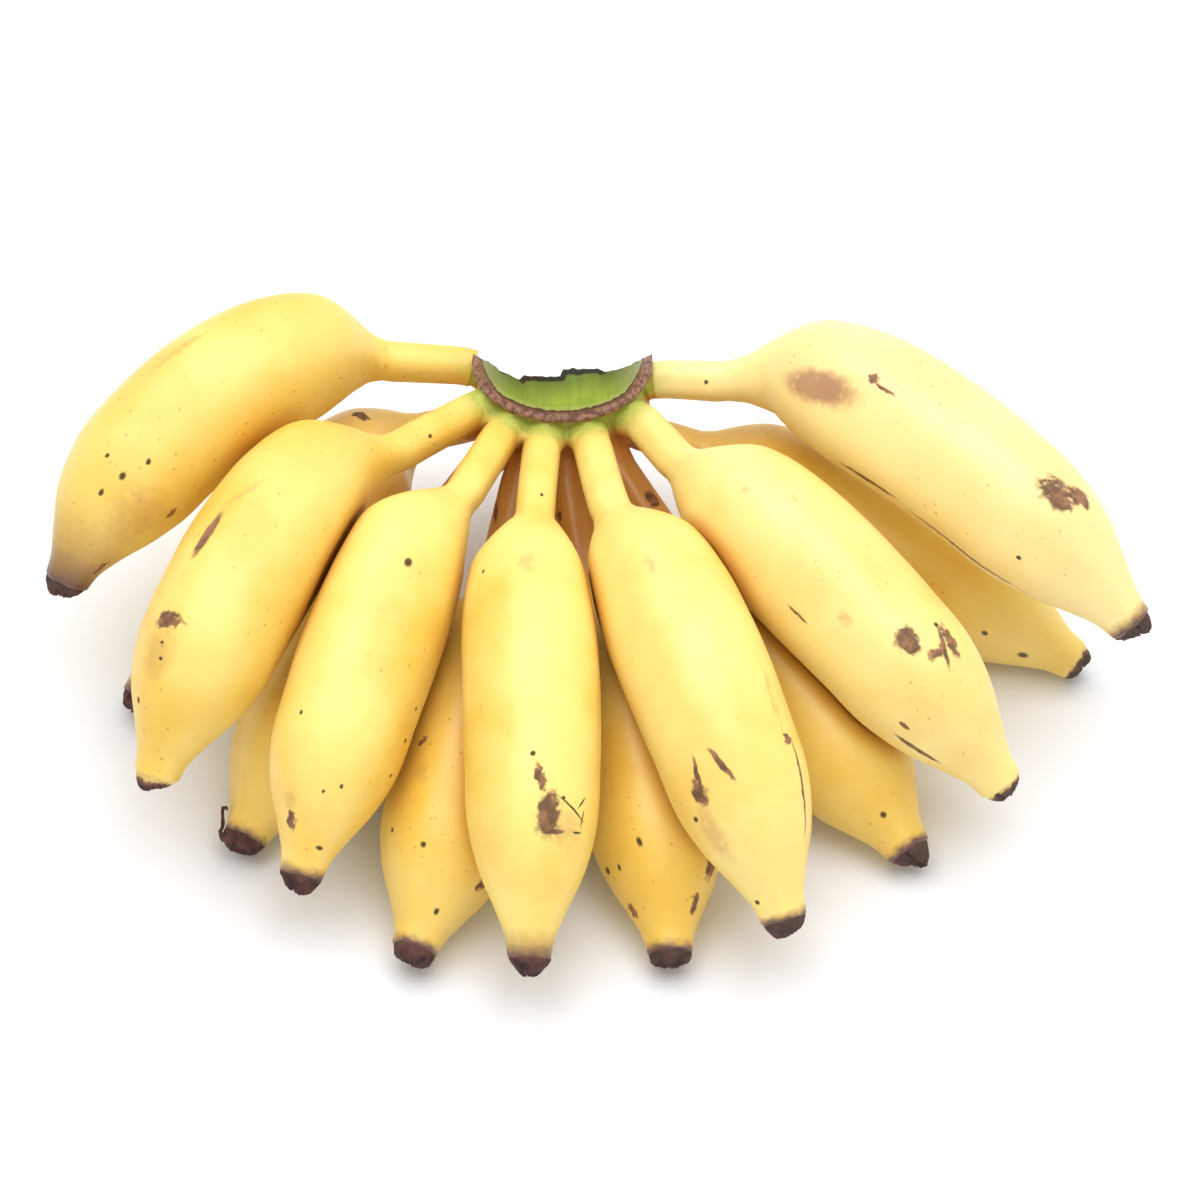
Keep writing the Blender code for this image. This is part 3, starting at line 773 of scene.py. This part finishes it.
spread = {0: broad, 1: GREEN_BLOTCH, 2: -GREEN_BLOTCH / 2}
spread = add_node(crown_skin, "Math", spread, operation="MULTIPLY_ADD")
from_ring = add_node(crown_skin, "Math", {0: from_ring, 1: spread.outputs[0]}, operation="ADD")
web = add_node(crown_skin, "MapRange", {0: past_ring, 1: 1.5, 2: -0.5, 4: -WEB_GREEN}).outputs[0]
from_ring = add_node(crown_skin, "Math", {0: from_ring.outputs[0], 1: web}, operation="ADD").outputs[0]
green = add_node(crown_skin, "MapRange", {0: from_ring, 1: GREEN_FAR, 2: GREEN_NEAR, 4: GREEN_MOST},
                 interpolation_type="SMOOTHSTEP").outputs[0]
# Painted shade: low on the crown, under the stalks, the yellow darkens to orange brown
under_shade = add_node(crown_skin, "MapRange", {0: parts[2], 1: 48.0, 2: 42.0}).outputs[0]
under = from_hex(PEEL_YELLOW)
for share, code in ((under_shade, UNDER_CROWN_SHADE), (green, PEEL_GREEN)):
    coat = {0: share, 6: under, 7: from_hex(code)}
    under = add_node(crown_skin, "Mix", coat, data_type="RGBA").outputs[2]

# The torn edge is black where the lip stands and thinly browned elsewhere
in_lip = add_node(crown_skin, "MapRange", {0: aside, 1: LIP_REACH, 2: LIP_REACH - 1.5}).outputs[0]
wide = add_node(crown_skin, "MapRange", {0: in_lip, 3: 0.15, 4: 1.4}).outputs[0]
ragged = add_node(crown_skin, "Math", {0: broad, 1: 2.0, 2: -1.0}, operation="MULTIPLY_ADD").outputs[0]
reach = add_node(crown_skin, "Math", {0: from_cut, 1: ragged}, operation="ADD").outputs[0]
reach = add_node(crown_skin, "Math", {0: wide, 1: reach}, operation="SUBTRACT").outputs[0]
burnt = add_node(crown_skin, "MapRange", {0: reach, 1: -0.15, 2: 0.25}).outputs[0]
for share, over in ((scar, band), (below, under), (burnt, from_hex(LIP_BLACK))):
    colour = add_node(crown_skin, "Mix", {0: share, 6: colour, 7: over}, data_type="RGBA").outputs[2]
crown_skin.node_tree.links.new(colour, skin_shader.inputs["Base Color"])
skin_shader.inputs["Roughness"].default_value = 0.5
skin_shader.inputs["Subsurface Weight"].default_value = 0.15
skin_shader.inputs["Subsurface Radius"].default_value = (0.7, 1.0, 0.2)
skin_shader.inputs["Subsurface Scale"].default_value = 2 * MM
bump = add_node(crown_skin, "Bump", {"Height": fine, "Strength": 0.5, "Distance": 0.4 * MM})
crown_skin.node_tree.links.new(bump.outputs[0], skin_shader.inputs["Normal"])

# Cut flesh of the crown: fibrous, pale where it is deep and browned where it dried at the rim
FLESH_TAN = "C3A878"
FLESH_PALE = "DDCB9E"
FLESH_BUNDLE = "7C5A34"
FLESH_DRIED = "4A3626"
FIBRE_WIDTH = 0.6667
FIBRE_LENGTH = 6.67
BUNDLE_WIDTH = 1.429
DRIED_RAGGED = 3.0
cut_flesh = bpy.data.materials.new("cut_crown_flesh")
cut_flesh.use_nodes = True
flesh_shader = cut_flesh.node_tree.nodes["Principled BSDF"]
here = add_node(cut_flesh, "TexCoord").outputs["Object"]
fibre = (grains(FIBRE_WIDTH), grains(FIBRE_LENGTH), grains(FIBRE_LENGTH))
fibre_map = add_node(cut_flesh, "Mapping", {"Vector": here, "Scale": fibre}).outputs[0]
fibres = add_node(cut_flesh, "TexNoise", {"Vector": fibre_map, "Scale": 1.0, "Detail": 3.0}).outputs["Fac"]
bundles = add_node(cut_flesh, "TexVoronoi", {"Vector": here, "Scale": grains(BUNDLE_WIDTH)})
depth = add_node(cut_flesh, "Attribute", attribute_name="from_cut").outputs["Fac"]
uneven = {0: fibres, 1: DRIED_RAGGED, 2: depth}
uneven = add_node(cut_flesh, "Math", uneven, operation="MULTIPLY_ADD").outputs[0]
colour = from_hex(FLESH_TAN)
for code, follows, start, full, most in (
    (FLESH_PALE, fibres, 0.35, 0.65, 1.0),
    (FLESH_BUNDLE, bundles.outputs["Distance"], 0.30, 0.18, 0.6),
    (FLESH_DRIED, uneven, -1.5, 0.8, 1.0),
):
    share = add_node(cut_flesh, "MapRange", {0: follows, 1: start, 2: full, 4: most}).outputs[0]
    coat = {0: share, 6: colour, 7: from_hex(code)}
    colour = add_node(cut_flesh, "Mix", coat, data_type="RGBA").outputs[2]
cut_flesh.node_tree.links.new(colour, flesh_shader.inputs["Base Color"])
flesh_shader.inputs["Roughness"].default_value = 0.8
bump = add_node(cut_flesh, "Bump", {"Height": fibres, "Strength": 0.6, "Distance": 0.5 * MM})
cut_flesh.node_tree.links.new(bump.outputs[0], flesh_shader.inputs["Normal"])

body = bmesh.new()
outline = [body.verts.new((out * MM, 0.0, up * MM)) for out, up in CROWN_PROFILE]
edges = [body.edges.new(pair) for pair in zip(outline, outline[1:])]
bmesh.ops.spin(body, geom=outline + edges, axis=(0, 0, 1), cent=(0, 0, 0), angle=2 * math.pi,
               steps=CROWN_SIDES, use_merge=True)
bmesh.ops.remove_doubles(body, verts=body.verts, dist=0.01 * MM)
bmesh.ops.recalc_face_normals(body, faces=body.faces)
bmesh.ops.scale(body, verts=body.verts, vec=(1.0, RING_DEPTH, 1.0))
bmesh.ops.translate(body, verts=body.verts, vec=Vector((0, RING_Y * MM, 0)) + hand_middle)
crown_mesh = bpy.data.meshes.new("crown_growth")
body.to_mesh(crown_mesh)
body.free()
crown = bpy.data.objects.new("crown_growth", crown_mesh)
bpy.context.scene.collection.objects.link(crown)

collars = []
for name, spine in spines.items():
    count = int(np.searchsorted(spine["along"], COLLAR_LENGTH))
    flare = -COLLAR_DIVE if name in CUT_STALKS else COLLAR_FLARE
    depth = CUT_COLLAR_DEPTH if name in CUT_STALKS else COLLAR_DEPTH
    places = [spine["points"][0] - spine["heading"][0] * depth]
    radii = [STALK_RADIUS]
    for k in range(count + 1):
        share = spine["along"][k] / COLLAR_LENGTH
        places.append(spine["points"][k])
        radii.append(spine["radii"][k] + flare * (1 - share) ** 2 - COLLAR_DIVE * share)
    side = np.cross(spine["heading"][0], (0.0, 0.0, 1.0))
    side /= np.linalg.norm(side)
    top = np.cross(side, spine["heading"][0])
    angle = np.arange(COLLAR_SIDES) * 2 * math.pi / COLLAR_SIDES
    ring = np.outer(np.sin(angle), side) + np.outer(np.cos(angle), top)
    rings = np.array([place + ring * radius for place, radius in zip(places, radii)])
    collars.append(close_rings("collar_" + name, rings, places[0], places[-1]))

with bpy.context.temp_override(active_object=crown, selected_editable_objects=[crown] + collars):
    bpy.ops.object.join()
crown.data.materials.append(crown_skin)
grown = crown.modifiers.new("grown_together", "REMESH")
grown.mode = "VOXEL"
grown.voxel_size = CROWN_VOXEL * MM
soft = crown.modifiers.new("soft", "SMOOTH")
soft.factor = CROWN_SOFTENING
soft.iterations = SOFTENING_TURNS

# The knife's hollow: a leaning cylinder whose wall is torn along the fibres, with a torn lip
turn = np.arange(CUT_SIDES) * 2 * math.pi / CUT_SIDES
height = np.linspace(-CUT_LENGTH / 2, CUT_LENGTH / 2, CUT_LEVELS)
tear = np.random.default_rng(5)
grain = np.repeat(tear.normal(size=(1, CUT_SIDES)), CUT_LEVELS, axis=0)
grain += CROSS_GRAIN * tear.normal(size=(CUT_LEVELS, CUT_SIDES))
grain = (grain + np.roll(grain, 1, axis=1) + np.roll(grain, -1, axis=1)) / 3
lip_places, lip_sizes = np.array(TORN_LIP).T
lip = np.interp(CUT_RADIUS * np.cos(turn), lip_places, lip_sizes) * (np.sin(turn) < 0)
height = np.repeat(height[:, None], CUT_SIDES, axis=1)
reach = CUT_RADIUS + CUT_GRAIN * grain - lip * smooth_step((height - LIP_START) / LIP_RISE)
wall = np.stack([reach * np.cos(turn), reach * np.sin(turn), height], axis=-1)
lean = math.radians(CUT_LEAN)
slope = np.array([[1, 0, 0], [0, math.cos(lean), -math.sin(lean)], [0, math.sin(lean), math.cos(lean)]])
axis_place = np.array([0.0, CUT_WALL_Y + CUT_RADIUS / math.cos(lean), CUT_WALL_HEIGHT])
wall = wall @ slope.T + axis_place
knife = close_rings("knife_hollow", wall, wall[0].mean(axis=0), wall[-1].mean(axis=0))
knife.data.materials.append(cut_flesh)
cut = crown.modifiers.new("knife_cut", "BOOLEAN")
cut.operation = "DIFFERENCE"
cut.solver = "EXACT"
cut.material_mode = "TRANSFER"
cut.object = knife
bpy.context.view_layer.update()
finished = bpy.data.meshes.new_from_object(crown.evaluated_get(bpy.context.evaluated_depsgraph_get()))
crown.modifiers.clear()
crown.data = finished
crown.data.name = "crown_growth"
bpy.data.objects.remove(knife)

# Each point's distance from the cut, less than nothing on the cut itself, for the dried edge
points = np.zeros(len(finished.vertices) * 3)
finished.vertices.foreach_get("co", points)
points = points.reshape(-1, 3) / MM
flesh_slot = [material.name for material in finished.materials].index(cut_flesh.name)
on_cut = np.zeros(len(points), dtype=bool)
on_skin = np.zeros(len(points), dtype=bool)
for face in finished.polygons:
    side = on_cut if face.material_index == flesh_slot else on_skin
    side[list(face.vertices)] = True
edge_points = np.flatnonzero(on_cut & on_skin)
tree = KDTree(len(edge_points))
for k in edge_points:
    tree.insert(points[k], int(k))
tree.balance()
spans = [tree.find(place)[2] * (1 if skin else -1) for place, skin in zip(points, on_skin)]
edge = finished.attributes.new("from_cut", "FLOAT", "POINT")
edge.data.foreach_set("value", spans)
finished.shade_smooth()
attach(crown, "root")
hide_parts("crown")

# The dried flower tips: what is left of each flower, a dead brown cap with five worn lobes round
# a hollow, dry as bark and grown on the end of its finger.

# Outline of a tip: share of its length, how far it has narrowed, how far it closes
TIP_PROFILE = [
    (-0.17, 0.00, 0.88), (0.00, 0.00, 0.97), (0.12, 0.05, 1.00), (0.25, 0.15, 1.00),
    (0.40, 0.34, 1.00), (0.55, 0.56, 1.00), (0.70, 0.78, 0.98), (0.82, 0.93, 0.93),
    (0.91, 1.00, 0.83), (0.97, 1.00, 0.70), (1.00, 1.00, 0.55), (0.98, 1.00, 0.42),
    (0.92, 1.00, 0.30), (0.86, 1.00, 0.15),
]
TIP_SIDES = 72
# Its five lobes, lumps and fine wear as shares of its width, and what the wear takes off
TIP_LOBES = 0.05
TIP_LUMPS = 0.035
TIP_WEAR = 0.02
END_WEAR = 0.12
END_NOTCHES = 0.3
WORN_START = -0.05
WORN_LENGTH = 0.6
# One line a tip: its length, radius at the peel, share of the width left at the end, how slanting
# the end is and which way round it is longest (degrees from the top, towards the finger's left),
# and the share of it over which the peel's yellow runs on before the dead brown, none if below 0
TIP_SHAPES = {
    "upper_1": (4.2, 4.9, 0.66, 0.12, 90, -0.3), "upper_2": (3.4, 4.7, 0.70, 0.30, 60, 0.5),
    "upper_3": (4.2, 4.9, 0.66, 0.12, -60, -0.15), "upper_4": (4.3, 4.9, 0.52, 0.05, 0, -0.2),
    "upper_5": (3.6, 4.95, 0.72, 0.16, 60, -0.15), "upper_6": (3.3, 4.8, 0.68, 0.10, 90, 0.42),
    "upper_7": (3.6, 4.9, 0.76, 0.25, -60, -0.15), "lower_1": (3.6, 4.8, 0.72, 0.10, 0, -0.1),
    "lower_2": (3.6, 5.0, 0.84, 0.15, 90, -0.2), "lower_3": (3.6, 4.95, 0.84, 0.10, -90, -0.15),
    "lower_4": (3.2, 4.9, 0.84, 0.05, 0, -0.15), "lower_5": (3.9, 4.9, 0.64, 0.38, -100, -0.2),
    "lower_6": (3.3, 4.8, 0.76, 0.12, -90, 0.4),
}
# The second lower tip keeps a curled thread: its way to the side, up and forward from the peel's
# end, and how thick it is
CURLED_TIP = "lower_2"
CURL_PATH = [
    (4.0, 0.4, 2.6), (5.0, 0.6, 2.0), (5.8, 0.9, 1.2), (5.6, 1.3, 0.2), (5.9, 1.8, -0.8),
    (6.4, 2.2, -1.8), (6.9, 2.6, -2.8), (7.1, 3.0, -3.7), (6.2, 3.6, -4.0), (5.4, 4.2, -3.4),
]
CURL_RADII = [0.8, 0.7, 0.5, 0.42, 0.5, 0.38, 0.4, 0.5, 0.36, 0.22]
CURL_SIDES = 10

# Dead flower tissue: dry and fibrous, dark purplish brown with paler dusty patches
FLOWER_DARK = "301918"
FLOWER_MID = "623C35"
FLOWER_PALE = "946A50"
FLOWER_GREY = "54443A"
LIVING_RIM = "EBCB74"
# Widths of its patterns in millimetres, the last so wide that each tip has its own share of grey
FLOWER_PATCH = 2.632
FLOWER_GRAIN = 0.6667
TIP_TO_TIP = 71.4
RIM_RAGGED = 0.9
dry_flower = bpy.data.materials.new("dry_flower")
dry_flower.use_nodes = True
flower_shader = dry_flower.node_tree.nodes["Principled BSDF"]
here = add_node(dry_flower, "TexCoord").outputs["Object"]
noises = []
for width, detail in ((FLOWER_PATCH, 4.0), (FLOWER_GRAIN, 4.0), (TIP_TO_TIP, 0.0)):
    noise = {"Vector": here, "Scale": grains(width), "Detail": detail}
    noises.append(add_node(dry_flower, "TexNoise", noise).outputs["Fac"])
broad, fine, each = noises
down = add_node(dry_flower, "Attribute", attribute_name="down_tip").outputs["Fac"]
rim = add_node(dry_flower, "Math", {0: broad, 1: RIM_RAGGED, 2: down}, operation="MULTIPLY_ADD").outputs[0]
colour = from_hex(FLOWER_DARK)
for code, follows, start, full, most in (
    (FLOWER_MID, broad, 0.38, 0.62, 1.0),
    (FLOWER_GREY, each, 0.45, 0.70, 0.7),
    (FLOWER_PALE, rim, 0.72, 0.34, 1.0),
    (LIVING_RIM, rim, 0.46, 0.30, 1.0),
    (FLOWER_MID, fine, 0.55, 0.75, 0.5),
):
    share = add_node(dry_flower, "MapRange", {0: follows, 1: start, 2: full, 4: most}).outputs[0]
    coat = {0: share, 6: colour, 7: from_hex(code)}
    colour = add_node(dry_flower, "Mix", coat, data_type="RGBA").outputs[2]
dry_flower.node_tree.links.new(colour, flower_shader.inputs["Base Color"])
flower_shader.inputs["Roughness"].default_value = 0.85
bump = add_node(dry_flower, "Bump", {"Height": fine, "Strength": 0.8, "Distance": 0.5 * MM})
dry_flower.node_tree.links.new(bump.outputs[0], flower_shader.inputs["Normal"])

wear = np.random.default_rng(11)
for name, spine in spines.items():
    length, base, end_share, slant, slant_way, living = TIP_SHAPES[name]
    forward = spine["heading"][-1]
    side = np.cross(forward, (0.0, 0.0, 1.0))
    side /= np.linalg.norm(side)
    top = np.cross(side, forward)
    angle = np.arange(TIP_SIDES) * 2 * math.pi / TIP_SIDES
    start_turn = wear.uniform(0, 2 * math.pi)
    waves = [(k, wear.uniform(0, 2 * math.pi), wear.normal() / math.sqrt(k)) for k in range(2, 18)]
    rough = sum(size * np.cos(k * angle + turn) for k, turn, size in waves)
    rings, depths = [], []
    for share, narrowed, closed in TIP_PROFILE:
        worn = smooth_step((share - WORN_START) / WORN_LENGTH)
        jitter = np.convolve(np.tile(wear.normal(size=TIP_SIDES), 3), (0.25, 0.5, 0.25), "same")
        jitter = jitter[TIP_SIDES:2 * TIP_SIDES]
        ridged = TIP_LOBES * np.cos(5 * angle + start_turn) + TIP_LUMPS * rough + TIP_WEAR * jitter
        reach = base * (1 + (end_share - 1) * narrowed) * closed * (1 + worn * ridged - TIP_WEAR * worn)
        push = share * length * (1 + worn * slant * np.cos(angle - math.radians(slant_way)))
        push += worn * (END_WEAR * jitter - END_NOTCHES * np.abs(rough))
        ring = np.outer(reach * np.sin(angle), side) + np.outer(reach * np.cos(angle), top)
        rings.append(spine["points"][-1] + ring + np.outer(push, forward))
        depths += [share - living] * TIP_SIDES
    rings = np.array(rings)
    if name == CURLED_TIP:
        # A dry thread of the flower curls back along the finger's left side
        path = spine["points"][-1] + np.array(CURL_PATH) @ np.array([side, top, forward])
        run = np.gradient(path, axis=0)
        run /= np.linalg.norm(run, axis=1)[:, None]
        aside = np.cross(run, top)
        aside /= np.linalg.norm(aside, axis=1)[:, None]
        over = np.cross(aside, run)
        around = np.arange(CURL_SIDES) * 2 * math.pi / CURL_SIDES
        tube = aside[:, None] * np.cos(around)[:, None] + over[:, None] * np.sin(around)[:, None]
        tube = path[:, None] + tube * np.array(CURL_RADII)[:, None, None]
        curl = close_rings("curl", tube, path[0], path[-1])
        blackened = curl.data.attributes.new("down_tip", "FLOAT", "POINT")
        blackened.data.foreach_set("value", [1.0] * len(curl.data.vertices))
    tip = close_rings("flower_tip_" + name, rings, rings[0].mean(axis=0), rings[-1].mean(axis=0))
    shares = tip.data.attributes.new("down_tip", "FLOAT", "POINT")
    shares.data.foreach_set("value", depths + [1.0, 1.0])
    if name == CURLED_TIP:
        with bpy.context.temp_override(active_object=tip, selected_editable_objects=[tip, curl]):
            bpy.ops.object.join()
    tip.data.materials.append(dry_flower)
    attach(tip, "root")
    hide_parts("dried_tip_" + name)
